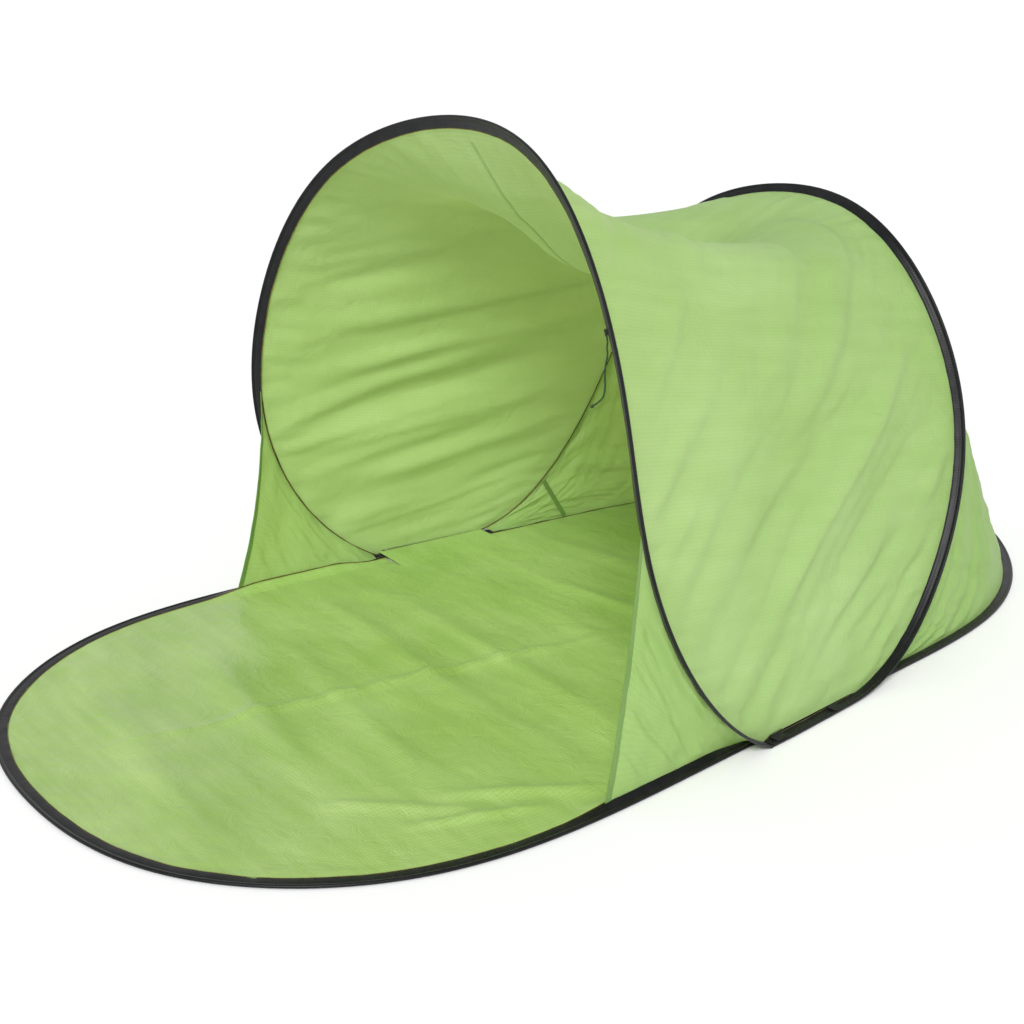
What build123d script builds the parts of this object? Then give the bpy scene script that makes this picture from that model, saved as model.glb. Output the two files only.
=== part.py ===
from build123d import *
import math
import os

# A pop-up beach tent: two closed spring-wire loops, each inside a sewn binding tape. One loop lies flat and
# holds the groundsheet, the other is saddle shaped and holds the canopy. They are tacked together along both
# sides. +Y is the rear, -Y the open mat end, +Z up, and the origin is on the ground at the groundsheet's centre.
# Where the wires bend as the tent folds, each loop is divided by a short gap centred on a hinge line.

# Driving dimensions, in millimetres
FLOOR_LENGTH = 2200
FLOOR_WIDTH = 1108
FRONT_ARCH_HEIGHT = 940
REAR_ARCH_HEIGHT = 776
TAPE_WIDTH = 22
TUNNEL_RADIUS = 2.75
TUNNEL_BORE = 2.25
FLANGE_RADIUS = 0.9
WIRE_RADIUS = 1.5
WIRE_GAP = 1
FERRULE_RADIUS = 2.0
FERRULE_BORE = 1.6
FERRULE_LENGTH = 30
FABRIC = 0.8
SEAM_STEP = 3
FRONT_HINGE_Y = -120
REAR_HINGE_Y = 140
HINGE_Z = 0.5
HINGE_GAP = 5
RIDGE_SAG = 256
RIDGE_SAG_EASE = 183
SIDE_SAG = 15
DISH_SHARE = 0.29
CANOPY_LEAN = 1.2
CANOPY_FOOT_Z = 9
RIDGE_SEAM_WIDTH = 8
RIDGE_GAP = 4
HEM_WIDTH = 12
HEM_THICKNESS = 1.6
SKIRT_TOP = 0.188
SKIRT_TOE = 0.128
SKIRT_LENGTH = 330
SKIRT_HOLLOW = (-7, 14, 0)
HINGE_CLEARANCE = 44
WALL_CLEARANCE = 80
WALL_SEAM_HALF = 5
LAP = 1
SKIRT_LAP = 2
FLOOR_LAP = 3
STRAP_WIDTH = 10
STRAP_THICKNESS = 1.2
STRAP_TOP = (-500, 300, 98)
STRAP_FOOT = (-487, 352, 7)
STRAP_FACING = (0.2, 1, 0)
TAB_SIZE = (46, 26, 1)
TAB_Z = 6.8
TAB_CORNER = 3
FRONT_TAB = (546, -95)
REAR_TAB = (534, 60)
CORD_RADIUS = 1.25
KNOT_RADIUS = 2.6
KNOT_LENGTH = 5
KNOT_FILLET = 1.2
CORD_LOOP_SIZE = (6, 3, 9)
CORD_LOOP_CORNER = 1
CORD_LOOP_DROP = 3.5
ARC_SHARE = 0.45

# Sections along each tape and wire, and rows and columns of points on each sheet
FRONT_MAT_SECTIONS = 35
REAR_FLOOR_SECTIONS = 31
FRONT_ARCH_SECTIONS = 37
REAR_ARCH_SECTIONS = 41
REAR_FLOOR_WIRE_SECTIONS = 91
FRONT_ARCH_WIRE_SECTIONS = 75
WIRE_ARCS = 4
OUTLINE_POINTS = 17
CANOPY_ROWS = 21
SHEET_ROWS = 9
WALL_ROWS = 15
WALL_COLUMNS = 5
HEM_ROWS = 3

# Worked out from the driving dimensions
HALF_LENGTH = FLOOR_LENGTH / 2
HALF_WIDTH = FLOOR_WIDTH / 2
GROUND_Z = TUNNEL_RADIUS
WIRE_OFFSET = TAPE_WIDTH / 2 - TUNNEL_RADIUS
SEAM_INSET = TAPE_WIDTH / 2 + LAP
CANOPY_INSET = SEAM_INSET + LAP
CENTRE_Y = -70
CENTRE_Z = 30
FRONT_END_Y = FRONT_HINGE_Y - HINGE_GAP
SIDE_FRONT_Y = FRONT_HINGE_Y + HINGE_GAP
SIDE_REAR_Y = REAR_HINGE_Y - HINGE_GAP
REAR_END_Y = REAR_HINGE_Y + HINGE_GAP

# Right-hand halves of the loops' tape centrelines
FRONT_MAT = [
    (535, FRONT_END_Y, GROUND_Z),
    (HALF_WIDTH, -455, GROUND_Z),
    (508, -790, GROUND_Z),
    (285, -1040, GROUND_Z),
    (0, -HALF_LENGTH, GROUND_Z),
]
FLOOR_SIDE = [
    (535, SIDE_FRONT_Y, GROUND_Z),
    (515, SIDE_REAR_Y, GROUND_Z),
]
REAR_FLOOR = [
    (515, REAR_END_Y, GROUND_Z),
    (503, 300, GROUND_Z),
    (455, 630, GROUND_Z),
    (265, 950, GROUND_Z),
    (0, HALF_LENGTH, GROUND_Z),
]
FRONT_ARCH = [
    (560, FRONT_END_Y, GROUND_Z),
    (569, -280, 132),
    (551, -384, 350),
    (489, -391, 610),
    (308, -347, 851),
    (0, -296, FRONT_ARCH_HEIGHT),
]
REAR_ARCH = [
    (560, SIDE_FRONT_Y, GROUND_Z),
    (556.5, -60, GROUND_Z + 0.05),
    (551, 0, GROUND_Z + 0.15),
    (544, 80, GROUND_Z + 0.9),
    (538, 145, 8),
    (530, 230, 38),
    (508, 365, 165),
    (443, 475, 437),
    (270, 488, 698),
    (0, 523, REAR_ARCH_HEIGHT),
]

# The tie cord hangs from a loop on the right leg of the front arch, and ends in a knot
CORD_LOOP_SHARE = 0.2965
CORD_ROUTE = [
    (443.8, -380.9, 678.2),
    (448.0, -381.9, 670.8),
    (446.5, -382.4, 661.0),
    (445.0, -378.6, 651.0),
    (443.5, -381.5, 637.0),
    (442.2, -381.2, 621.0),
    (443.0, -380.6, 605.0),
    (442.6, -382.0, 592.0),
    (438.5, -386.5, 582.5),
    (432.8, -393.0, 577.0),
]

os.makedirs("parts", exist_ok=True)


def whole(points):
    """A right-hand half outline carried across the middle plane to the left."""
    return points + [(-x, y, z) for x, y, z in reversed(points) if x > 0]


def curve(points):
    with BuildLine() as line:
        Spline(*points)
    return line.wire()


def straight(points):
    with BuildLine() as line:
        Line(*points)
    return line.wire()


def shares(start, end, count):
    """Evenly spaced numbers from start to end."""
    return [start + (end - start) * i / (count - 1) for i in range(count)]


def station(path, share):
    """A plane across the path: x outward along the flat of the tape, square to the loop."""
    place = path.position_at(share)
    tangent = path.tangent_at(share)
    away = place - Vector(0, CENTRE_Y, min(CENTRE_Z, place.Z))
    outward = away - tangent * away.dot(tangent)
    return Plane(origin=place, x_dir=outward, z_dir=tangent)


def stations(path, count, start=0.0, end=1.0):
    return [station(path, share) for share in shares(start, end, count)]


def seam_point(path, share, inset, step=0.0):
    """A point on the loop's sewn edge: inset from the tape's centreline, and a step across its flat."""
    plane = station(path, share)
    return plane.origin - plane.x_dir * inset + plane.y_dir * step


def between(a, b, share):
    return a + (b - a) * share


def ease(share):
    """From 0 to 1 with a level start and end."""
    share = min(1, share)
    return share**2 * (3 - 2 * share)


def tape_section():
    """Across the tape: a wire tunnel at its outer edge, narrowing to a sewn flange at its inner edge."""
    flange_x = FLANGE_RADIUS - TAPE_WIDTH / 2
    lean = math.asin((TUNNEL_RADIUS - FLANGE_RADIUS) / (WIRE_OFFSET - flange_x))
    outer = (WIRE_OFFSET - TUNNEL_RADIUS * math.sin(lean), TUNNEL_RADIUS * math.cos(lean))
    inner = (flange_x - FLANGE_RADIUS * math.sin(lean), FLANGE_RADIUS * math.cos(lean))
    with BuildSketch() as section:
        with BuildLine():
            Line(outer, inner)
            ThreePointArc(inner, (-TAPE_WIDTH / 2, 0), (inner[0], -inner[1]))
            Line((inner[0], -inner[1]), (outer[0], -outer[1]))
            ThreePointArc((outer[0], -outer[1]), (TAPE_WIDTH / 2, 0), outer)
        make_face()
    return section.sketch


def tape_sections(planes):
    flat = tape_section()
    sections = []
    for plane in planes:
        with BuildSketch(plane) as section:
            add(flat)
        sections.append(section.sketch)
    return sections


def round_sections(planes, radius):
    """Circles where the wire runs, one on each plane."""
    sections = []
    for plane in planes:
        with BuildSketch(plane) as section:
            with Locations((WIRE_OFFSET, 0)):
                Circle(radius)
        sections.append(section.sketch)
    return sections


def wire_sections(planes):
    """The wire's circles, each drawn as equal arcs so that a long thin wire meshes true to its thickness."""
    turn = 360 / WIRE_ARCS
    sections = []
    for plane in planes:
        with BuildSketch(plane) as section:
            with BuildLine():
                for i in range(WIRE_ARCS):
                    CenterArc((WIRE_OFFSET, 0), WIRE_RADIUS, i * turn, turn)
            make_face()
        sections.append(section.sketch)
    return sections


def tape(planes):
    """Binding tape with an open tunnel for the wire."""
    outside = tape_sections(planes)
    tunnel = round_sections(planes, TUNNEL_BORE)
    with BuildPart() as piece:
        loft(outside)
        loft(tunnel, mode=Mode.SUBTRACT)
    return piece


def wire(planes):
    """Round spring wire lying in the tape's tunnel."""
    sections = wire_sections(planes)
    with BuildPart() as piece:
        loft(sections)
    return piece


def half_wire(planes):
    """The right-hand half of a wire whose two ends meet in the ferrule."""
    sections = wire_sections(planes)
    with BuildPart() as piece:
        loft(sections)
        split(bisect_by=Plane.YZ.offset(WIRE_GAP / 2), keep=Keep.TOP)
    return piece


def ferrule(path):
    """A crimped tube over the two ends of a loop's wire, at the middle of the path."""
    reach = FERRULE_LENGTH / 2 / path.length
    planes = stations(path, 3, 0.5 - reach, 0.5 + reach)
    outside = round_sections(planes, FERRULE_RADIUS)
    bore = round_sections(planes, FERRULE_BORE)
    with BuildPart() as piece:
        loft(outside)
        loft(bore, mode=Mode.SUBTRACT)
    return piece


def cloth(rows, thickness=FABRIC):
    """A thin closed sheet, curved through a grid of points."""
    with BuildPart() as piece:
        thicken(Face.make_surface_from_array_of_points(rows), amount=thickness / 2, both=True)
    return piece


def groundsheet(path, hinge_y):
    """Flat sheet inside a U-shaped stretch of the floor tape, closed by a straight edge at a hinge line."""
    edge = [seam_point(path, share, SEAM_INSET) for share in shares(0, 1, OUTLINE_POINTS)]
    outline = [(point.X, point.Y) for point in edge]
    corners = [(outline[0][0], hinge_y), (outline[-1][0], hinge_y)]
    with BuildPart() as piece:
        with BuildSketch():
            with BuildLine():
                Spline(*outline)
                Polyline(outline[-1], corners[1], corners[0], outline[0])
            make_face()
        extrude(amount=2 * HINGE_Z)
    return piece


def middle_groundsheet():
    """The strip of groundsheet between the two hinge lines."""
    front = FLOOR_SIDE[0][0] - SEAM_INSET
    rear = FLOOR_SIDE[1][0] - SEAM_INSET
    y0 = FRONT_HINGE_Y + LAP
    y1 = REAR_HINGE_Y - LAP
    with BuildPart() as piece:
        with BuildSketch():
            with BuildLine():
                Polyline((-front, y0), (front, y0), (rear, y1), (-rear, y1), close=True)
            make_face()
        extrude(amount=2 * HINGE_Z)
    return piece


def canopy_point(down, back):
    """On the canopy: down runs from the ridge, 0, to the side tack, 1, and back from front to rear arch."""
    front = seam_point(front_arch, 0.5 * (1 - down), CANOPY_INSET)
    rear = seam_point(rear_arch, between(0.5, SIDE_SHARE, down), CANOPY_INSET)
    chord = between(front, rear, back)
    lean = math.radians(90 * min(1, CANOPY_LEAN * down))
    at_ridge = RIDGE_SAG - RIDGE_SAG_EASE * back**2
    depth = between(at_ridge, SIDE_SAG, ease(down / DISH_SHARE))
    sag = 4 * back * (1 - back) * depth * (1 - down**4)
    point = chord - Vector(math.sin(lean), 0, math.cos(lean)) * sag
    lift = max(0, CANOPY_FOOT_Z - point.Z)
    return point + Vector(0, 0, lift)


def canopy_panel():
    """The right half of the canopy, from the ridge seam to the side tack."""
    top = (RIDGE_SEAM_WIDTH / 2 + RIDGE_GAP) / (front_arch.length / 2)
    backs = shares(0, 1, SHEET_ROWS)
    rows = [[canopy_point(down, back) for back in backs] for down in shares(top, 1, CANOPY_ROWS)]
    return cloth(rows)


def ridge_seam():
    """The narrow felled seam that joins the canopy's halves along the ridge."""
    middle = [canopy_point(0, back) for back in shares(0, 1, SHEET_ROWS)]
    half = Vector(RIDGE_SEAM_WIDTH / 2, 0, 0)
    return cloth([[p - half for p in middle], middle, [p + half for p in middle]], 2 * FABRIC)


def skirt_point(out, up):
    """On the right skirt: out runs from the hinge line, 0, to the free edge, 1, and up from floor to arch."""
    floor_share = between(HINGE_CLEARANCE / front_mat.length, SKIRT_TOE, out)
    arch_share = between(HINGE_CLEARANCE / front_arch.length, SKIRT_TOP, out)
    low = seam_point(front_mat, floor_share, SEAM_INSET - FLOOR_LAP) + Vector(0, 0, SEAM_STEP)
    high = seam_point(front_arch, arch_share, SEAM_INSET - SKIRT_LAP, -SEAM_STEP)
    return between(low, high, up) + Vector(*SKIRT_HOLLOW) * 4 * up * (1 - up) * out


def skirt():
    """The right side skirt, stopping where its hem begins."""
    hem_share = 1 - (HEM_WIDTH + LAP) / SKIRT_LENGTH
    ups = shares(0, 1, SHEET_ROWS)
    rows = [[skirt_point(out, up) for up in ups] for out in shares(0, hem_share, SHEET_ROWS)]
    return cloth(rows)


def skirt_hem():
    """The doubled hem on the right skirt's free edge."""
    hem_share = 1 - HEM_WIDTH / SKIRT_LENGTH
    ups = shares(0, 1, SHEET_ROWS)
    rows = [[skirt_point(out, up) for up in ups] for out in shares(hem_share, 1, HEM_ROWS)]
    return cloth(rows, HEM_THICKNESS)


def rear_wall_point(along, up):
    """On the rear wall: along runs from the side tack, 0, to the middle of the back, 1, and up from the floor."""
    floor_share = between(WALL_CLEARANCE / rear_floor.length, 0.5, along)
    arch_share = between(SIDE_SHARE + WALL_CLEARANCE / rear_arch.length, 0.5, along)
    low = seam_point(rear_floor, floor_share, SEAM_INSET - FLOOR_LAP) + Vector(0, 0, SEAM_STEP)
    high = seam_point(rear_arch, arch_share, SEAM_INSET - SKIRT_LAP, SEAM_STEP)
    return between(low, high, up)


def rear_wall():
    """The right half of the wall that closes the back, stopping just short of its middle seam."""
    end = 1 - WALL_SEAM_HALF / (rear_floor.length / 2)
    ups = shares(0, 1, WALL_COLUMNS)
    rows = [[rear_wall_point(along, up) for up in ups] for along in shares(0, end, WALL_ROWS)]
    return cloth(rows)


def rear_strap():
    """A webbing strap inside the left rear corner, from the arch's seam to the floor's."""
    top = Vector(*STRAP_TOP)
    foot = Vector(*STRAP_FOOT)
    with BuildPart() as piece:
        with BuildSketch(Plane(origin=foot, x_dir=STRAP_FACING, z_dir=top - foot)):
            Rectangle(STRAP_WIDTH, STRAP_THICKNESS)
        extrude(amount=(top - foot).length)
    return piece


def tack_tab(x, y):
    """A webbing patch sewn across the two tapes where they are tacked together."""
    with BuildPart() as piece:
        with BuildSketch(Plane.XY.offset(TAB_Z)):
            with Locations((x, y)):
                RectangleRounded(TAB_SIZE[0], TAB_SIZE[1], TAB_CORNER)
        extrude(amount=TAB_SIZE[2])
    return piece


def cord_loop():
    """A small sewn loop on the inner face of the front arch's tape, which holds the tie cord."""
    plane = station(front_arch, CORD_LOOP_SHARE)
    with BuildPart() as piece:
        with BuildSketch(plane):
            with Locations((LAP - SEAM_INSET, -CORD_LOOP_DROP)):
                RectangleRounded(CORD_LOOP_SIZE[0], CORD_LOOP_SIZE[1], CORD_LOOP_CORNER)
        extrude(amount=CORD_LOOP_SIZE[2] / 2, both=True)
    return piece


def cord_path():
    """The cord's route as straight runs joined by arcs as large as the runs allow."""
    points = [Vector(*p) for p in CORD_ROUTE]
    runs = [b - a for a, b in zip(points, points[1:])]
    radii = []
    for before, after in zip(runs, runs[1:]):
        turn = math.radians(before.get_angle(after))
        radii.append(ARC_SHARE * min(before.length, after.length) / math.tan(turn / 2))
    print("cord radii", [round(r, 1) for r in radii])
    with BuildLine() as line:
        FilletPolyline(*points, radius=radii)
    return line.wire()


def cord(path):
    with BuildPart() as piece:
        with BuildSketch(Plane(origin=path.position_at(0), z_dir=path.tangent_at(0))):
            Circle(CORD_RADIUS)
        sweep(path=path)
    section = math.pi * CORD_RADIUS**2
    print("cord length", round(path.length, 1), "volume ratio", round(piece.part.volume / section / path.length, 4))
    return piece


def cord_knot(path):
    """The knot at the cord's free end."""
    with BuildPart() as piece:
        with BuildSketch(Plane(origin=path.position_at(1), z_dir=path.tangent_at(1))):
            Circle(KNOT_RADIUS)
        extrude(amount=KNOT_LENGTH)
        fillet(piece.edges().filter_by(GeomType.CIRCLE), radius=KNOT_FILLET)
    return piece


def save(piece, name):
    piece.part.label = name
    export_step(piece.part, f"parts/{name}.step")


def save_pair(piece, name):
    """The right-hand piece, and its mirror image on the left."""
    save(piece, f"{name}_right")
    with BuildPart() as left:
        add(piece.part)
        mirror(about=Plane.YZ, mode=Mode.REPLACE)
    save(left, f"{name}_left")


front_mat = curve(whole(FRONT_MAT))
rear_floor = curve(whole(REAR_FLOOR))
front_arch = curve(whole(FRONT_ARCH))
rear_arch = curve(whole(REAR_ARCH))
floor_side = straight(FLOOR_SIDE)
SIDE_SHARE = (SIDE_REAR_Y - SIDE_FRONT_Y) / rear_arch.length

save(tape(stations(front_mat, FRONT_MAT_SECTIONS)), "front_floor_binding")
save(wire(stations(front_mat, FRONT_MAT_SECTIONS)), "front_floor_wire")
save(tape(stations(rear_floor, REAR_FLOOR_SECTIONS)), "rear_floor_binding")
save_pair(half_wire(stations(rear_floor, REAR_FLOOR_WIRE_SECTIONS)), "rear_floor_wire")
save(ferrule(rear_floor), "floor_ferrule")
save_pair(tape(stations(floor_side, 2)), "side_floor_binding")
save_pair(wire(stations(floor_side, 2)), "side_floor_wire")

save(tape(stations(front_arch, FRONT_ARCH_SECTIONS)), "front_arch_binding")
save(wire(stations(front_arch, FRONT_ARCH_WIRE_SECTIONS)), "front_arch_wire")
save(tape(stations(rear_arch, REAR_ARCH_SECTIONS)), "rear_arch_binding")
save_pair(half_wire(stations(rear_arch, REAR_ARCH_SECTIONS)), "rear_arch_wire")
save(ferrule(rear_arch), "canopy_ferrule")

save(groundsheet(front_mat, FRONT_HINGE_Y - LAP), "groundsheet_front")
save(groundsheet(rear_floor, REAR_HINGE_Y + LAP), "groundsheet_rear")
save(middle_groundsheet(), "groundsheet_middle")

save_pair(canopy_panel(), "canopy_panel")
save(ridge_seam(), "ridge_seam")
save_pair(skirt(), "skirt")
save_pair(skirt_hem(), "skirt_hem")
save_pair(rear_wall(), "rear_wall")
save(rear_strap(), "rear_strap")
save_pair(tack_tab(*FRONT_TAB), "front_tack")
save_pair(tack_tab(*REAR_TAB), "rear_tack")

tie_cord_path = cord_path()
save(cord_loop(), "cord_loop")
save(cord(tie_cord_path), "tie_cord")
save(cord_knot(tie_cord_path), "cord_knot")
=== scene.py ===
import math

import bpy
import numpy as np
from mathutils import Matrix, Vector


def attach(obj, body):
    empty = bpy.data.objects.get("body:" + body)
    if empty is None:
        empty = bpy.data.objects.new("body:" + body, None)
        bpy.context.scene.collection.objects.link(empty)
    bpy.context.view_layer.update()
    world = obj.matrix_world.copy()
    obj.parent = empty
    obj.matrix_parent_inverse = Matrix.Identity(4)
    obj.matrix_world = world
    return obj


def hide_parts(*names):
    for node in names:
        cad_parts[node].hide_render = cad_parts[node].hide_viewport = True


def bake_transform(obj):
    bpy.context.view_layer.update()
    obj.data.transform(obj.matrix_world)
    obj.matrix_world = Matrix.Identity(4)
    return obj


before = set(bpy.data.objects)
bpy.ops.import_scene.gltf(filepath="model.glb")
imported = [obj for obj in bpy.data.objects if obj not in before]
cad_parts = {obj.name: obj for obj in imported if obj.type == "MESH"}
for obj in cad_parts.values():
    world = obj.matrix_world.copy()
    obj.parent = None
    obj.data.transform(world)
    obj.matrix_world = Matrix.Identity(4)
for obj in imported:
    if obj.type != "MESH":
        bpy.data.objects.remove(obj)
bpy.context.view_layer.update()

# ---------------------------------------------------------------- sizes, in metres
# The binding tape's section, measured across its flat from the centreline, wire side positive
WIRE_OFFSET = 0.00825
TUNNEL = 0.0027
FLANGE = 0.0010
SEWN_IN = 0.0085
TAPE_SPACING = 0.004
STITCH_ROWS = (0.0032, -0.0088)
STITCH_PITCH = 0.0052
STITCH_LONG, STITCH_WIDE, STITCH_HIGH = 0.0036, 0.00055, 0.00042
STITCH_LIFT = 0.0007
# Thicknesses of cloth
CLOTH = 0.0004
RIDGE_SEAM = 0.0012
HEM_THICKNESS = 0.0016
HEM_ROWS = 3
# The tapes' flats point to this centre, or to the one level with them where they lie lower
CENTRE_Y = -0.070
CENTRE_Z = 0.030
# The two hinge lines, how far an outline stops short of its own, and how far the tape runs on past it
FRONT_HINGE_Y = -0.120
REAR_HINGE_Y = 0.140
HINGE_GAP = 0.005
REST_GAP = HINGE_GAP - 0.0002
# The canopy's dish, as in the part's source
RIDGE_SAG = 0.256
RIDGE_SAG_EASE = 0.183
SIDE_SAG = 0.015
DISH_SHARE = 0.29
CANOPY_LEAN = 1.2
CANOPY_LOWEST = 0.009
RIDGE_STRIP = 0.004
# How far along each loop the canopy, the skirts and the rear wall start and end, in metres
CANOPY_START = 0.250
SKIRT_START = 0.012
WALL_START = 0.020
WALL_LENGTH = 2.3
# Shares of the loops at which a skirt's free edge ends
SKIRT_ON_MAT, SKIRT_ON_ARCH = 0.128, 0.188
SKIRT_HOLLOW = 0.014
# The mat tape's tilt beside a skirt
MAT_TILT = 0.62
# The middle groundsheet laps over the side tapes
SIDE_TAPE_HALF_WIDTHS = (0.535, 0.515)
SIDE_TAPE_ENDS = (-0.125, 0.145)
SIDE_LAP = 0.013
LAP_LEVEL = 0.0094
LAP_DROP = 0.0003
JOIN_LAP = 0.0008
# The groundsheet's height where it lies flat, how wide its quieter border is, and how far in from the
# tape it takes the tape's level
FLOOR_LEVEL = 0.0012
FLOOR_EDGE = 0.09
FLOOR_RIM = 0.035

# Right-hand halves of the tapes' centrelines, as in the part's source, in millimetres
FRONT_MAT = (
    (535, -125, 2.75),
    (554, -455, 2.75),
    (508, -790, 2.75),
    (285, -1040, 2.75),
    (0, -1100, 2.75),
)
REAR_FLOOR = (
    (515, 145, 2.75),
    (503, 300, 2.75),
    (455, 630, 2.75),
    (265, 950, 2.75),
    (0, 1100, 2.75),
)
SIDE_FLOOR = (
    (535, -115, 2.75),
    (528, -23, 2.75),
    (522, 55, 2.75),
    (515, 135, 2.75),
)
FRONT_ARCH = (
    (560, -125, 2.75),
    (569, -280, 132),
    (551, -384, 350),
    (489, -391, 610),
    (308, -347, 851),
    (0, -296, 940),
)
REAR_ARCH = (
    (560, -115, 2.75),
    (556.5, -60, 2.8),
    (551, 0, 2.9),
    (544, 80, 3.65),
    (538, 145, 8),
    (530, 230, 38),
    (508, 365, 165),
    (443, 475, 437),
    (270, 488, 698),
    (0, 523, 776),
)
CORD_ROUTE = (
    (0.4438, -0.3809, 0.6782),
    (0.4480, -0.3819, 0.6708),
    (0.4465, -0.3824, 0.6610),
    (0.4450, -0.3786, 0.6510),
    (0.4435, -0.3815, 0.6370),
    (0.4422, -0.3812, 0.6210),
    (0.4430, -0.3806, 0.6050),
    (0.4426, -0.3820, 0.5920),
    (0.4385, -0.3865, 0.5825),
    (0.4328, -0.3930, 0.5770),
)
CORD_DIAMETER = 0.0025


# ---------------------------------------------------------------- camera
CAMERA_PLACE = (1.96745, -1.77563, 1.11594)
CAMERA_TURN, CAMERA_RISE = 0.893738, 0.326839
CAMERA_LENS = 52.49


def make_camera():
    """A camera at its place, turned about the vertical and looking down by the two angles."""
    level = math.cos(CAMERA_RISE)
    back = Vector((math.sin(CAMERA_TURN) * level, -math.cos(CAMERA_TURN) * level, math.sin(CAMERA_RISE)))
    right = Vector((math.cos(CAMERA_TURN), math.sin(CAMERA_TURN), 0))
    up = back.cross(right)
    data = bpy.data.cameras.new("camera")
    data.sensor_width = 36
    data.lens = CAMERA_LENS
    data.clip_start = 0.05
    data.clip_end = 50
    camera = bpy.data.objects.new("camera", data)
    bpy.context.collection.objects.link(camera)
    rotation = Matrix((right, up, back)).transposed().to_4x4()
    camera.matrix_world = Matrix.Translation(CAMERA_PLACE) @ rotation
    bpy.context.scene.camera = camera


make_camera()


# ---------------------------------------------------------------- curves
def whole(points):
    """A right-hand half outline carried across the middle plane, in metres."""
    right = np.array(points, float) / 1000
    left = right[right[:, 0] > 0][::-1] * (-1, 1, 1)
    return np.vstack([right, left])


def end_slope(times, values):
    """The slope at times[0] of the cubic through four points."""
    slope = np.zeros(3)
    for j in range(4):
        others = [k for k in range(4) if k != j]
        below = np.prod([times[j] - times[k] for k in others])
        above = sum(np.prod([times[0] - times[k] for k in others if k != m]) for m in others)
        slope = slope + values[j] * above / below
    return slope


PATH_SAMPLES = 400


class Path:
    """A smooth curve through points, sampled closely, and read by the share of its length."""

    def __init__(self, points):
        points = np.asarray(points, float)
        times = np.concatenate([[0], np.cumsum(np.linalg.norm(np.diff(points, axis=0), axis=1))])
        steps = np.diff(times)
        count = len(points)
        matrix = np.zeros((count, count))
        right = np.zeros((count, 3))
        matrix[0, 0] = matrix[-1, -1] = 1
        right[0] = end_slope(times[:4], points[:4])
        right[-1] = end_slope(times[::-1][:4], points[::-1][:4])
        for i in range(1, count - 1):
            before, after = steps[i - 1], steps[i]
            matrix[i, i - 1 : i + 2] = after, 2 * (before + after), before
            to_here, onward = points[i] - points[i - 1], points[i + 1] - points[i]
            right[i] = 3 * (after * to_here / before + before * onward / after)
        slopes = np.linalg.solve(matrix, right)
        share = np.linspace(0, 1, PATH_SAMPLES, endpoint=False)[:, None]
        runs = []
        for i in range(count - 1):
            a, b, h = points[i], points[i + 1], steps[i]
            runs.append(
                (2 * share**3 - 3 * share**2 + 1) * a
                + (share**3 - 2 * share**2 + share) * h * slopes[i]
                + (3 * share**2 - 2 * share**3) * b
                + (share**3 - share**2) * h * slopes[i + 1]
            )
        self.points = np.vstack([*runs, points[-1:]])
        lengths = np.linalg.norm(np.diff(self.points, axis=0), axis=1)
        self.reach = np.concatenate([[0], np.cumsum(lengths)])
        self.length = self.reach[-1]
        self.slopes = np.gradient(self.points, self.reach, axis=0)

    def at(self, shares):
        """Places and unit tangents at shares of the length. Past an end the curve runs on straight."""
        goal = np.asarray(shares, float) * self.length
        inside = np.clip(goal, 0, self.length)
        place = np.stack([np.interp(inside, self.reach, self.points[:, k]) for k in range(3)], axis=-1)
        slope = np.stack([np.interp(inside, self.reach, self.slopes[:, k]) for k in range(3)], axis=-1)
        slope /= np.linalg.norm(slope, axis=-1, keepdims=True)
        return place + slope * (goal - inside)[..., None], slope


def stations(path, shares, tilt=None):
    """Places on the tape's centreline, the way out across its flat, the way square to the flat, and
    the tangents. A tilt turns the tape about its wire, sewn edge up."""
    place, along = path.at(shares)
    centre = np.stack(
        [np.zeros(len(place)), np.full(len(place), CENTRE_Y), np.minimum(CENTRE_Z, place[:, 2])], axis=-1
    )
    away = place - centre
    out = away - along * np.sum(away * along, axis=-1, keepdims=True)
    out /= np.linalg.norm(out, axis=-1, keepdims=True)
    side = np.cross(along, out)
    if tilt is not None:
        wire = place + out * WIRE_OFFSET
        turn = np.asarray(tilt)[:, None]
        out, side = out * np.cos(turn) - side * np.sin(turn), out * np.sin(turn) + side * np.cos(turn)
        place = wire - out * WIRE_OFFSET
    return place, out, side, along


def smooth(x):
    x = np.clip(x, 0, 1)
    return x * x * (3 - 2 * x)


front_mat = Path(whole(FRONT_MAT))
rear_floor = Path(whole(REAR_FLOOR))
front_arch = Path(whole(FRONT_ARCH))
rear_arch = Path(whole(REAR_ARCH))
side_right = Path(np.array(SIDE_FLOOR) / 1000)
side_left = Path(side_right.points[:: PATH_SAMPLES // 10] * (-1, 1, 1))
SIDE_SHARE = CANOPY_START / rear_arch.length


def mat_tilt(shares):
    """The skirts pull the sewn edge of the floor tape up beside them."""
    reach = np.minimum(shares, 1 - shares) * front_mat.length
    return MAT_TILT * smooth((reach - 0.02) / 0.10) * smooth((0.42 - reach) / 0.14)


def mat_seam(shares, inset):
    place, out, _, _ = stations(front_mat, shares, mat_tilt(shares))
    return place - out * inset


def seam(path, shares, inset):
    """Points on a loop's sewn edge, inset from the tape's centreline."""
    place, out, _, _ = stations(path, shares)
    return place - out * inset


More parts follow.
